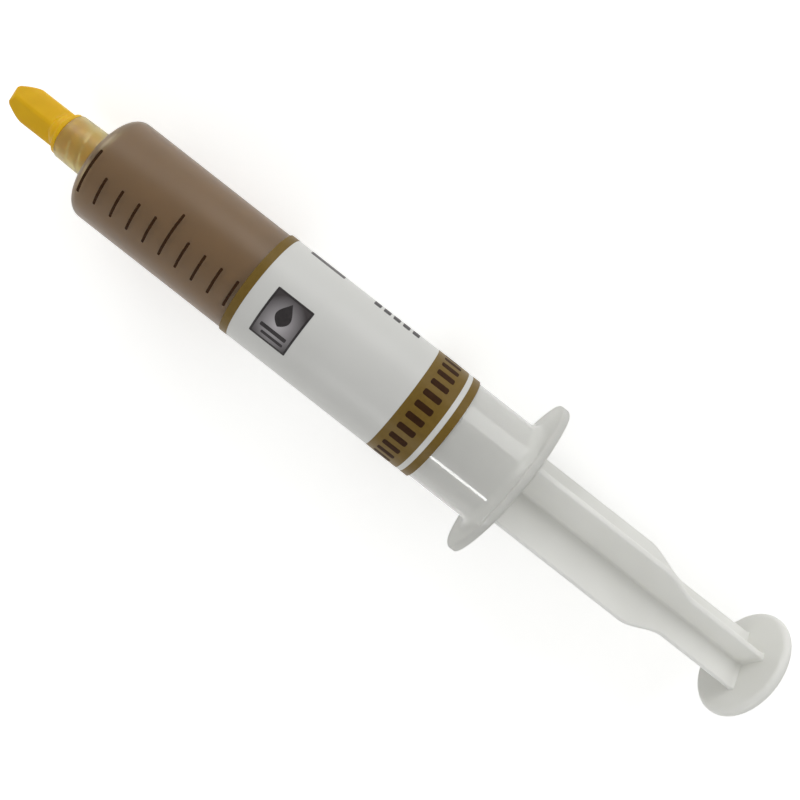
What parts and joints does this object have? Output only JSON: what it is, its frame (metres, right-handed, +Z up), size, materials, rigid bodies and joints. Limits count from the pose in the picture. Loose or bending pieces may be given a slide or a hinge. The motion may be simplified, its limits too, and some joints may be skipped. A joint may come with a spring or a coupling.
{
  "type": "silicone paste syringe",
  "caption": "Clear plastic syringe filled with grey-brown silicone paste, with a yellow tip cap, a white and gold wrap label, a finger flange and a ribbed plunger.",
  "frame": {"origin": "on the surface it lies on, under the middle of its whole length and its axis, at the lower flat of the finger flange", "axes": "+X along the syringe from the capped tip to the thumb disc, +Y across along the flange's wings, +Z up"},
  "size_m": [0.1688, 0.033, 0.022],
  "materials": {
    "clear_plastic": "clear moulded polypropylene, smooth",
    "yellow_plastic": "moulded polypropylene, satin",
    "paste": "smooth grey-brown paste",
    "seal_rubber": "moulded rubber, satin",
    "frosted_plastic": "natural moulded polypropylene",
    "label_film": "printed film, satin",
    "gold_ink": "printed gold ink, satin",
    "dark_ink": "printed ink",
    "grey_ink": "printed ink",
    "scale_ink": "printed ink"
  },
  "bodies": {
    "barrel_body": {"barrel": "clear_plastic", "paste": "paste", "label": "label_film", "label_bands": "gold_ink", "badge_frame": "dark_ink", "badge_field": "grey_ink", "scale_marks": "scale_ink"},
    "piston": {"piston_seal": "seal_rubber"},
    "rod": {"plunger": "frosted_plastic"},
    "cap": {"tip_cap": "yellow_plastic"}
  },
  "joints": [
    {"name": "plunger_slide", "type": "slide", "parent": "barrel_body", "child": "piston", "axis": [-1, 0, 0], "range_m": [-0.0322, 0.0456], "deforming": ["paste"]},
    {"name": "plunger_turn", "type": "hinge", "parent": "piston", "child": "rod", "pos_m": [0, 0, 0.011], "axis": [1, 0, 0], "continuous": true},
    {"name": "cap_pull", "type": "slide", "parent": "barrel_body", "child": "cap", "axis": [-1, 0, 0], "range_m": [0, 0.02]}
  ]
}
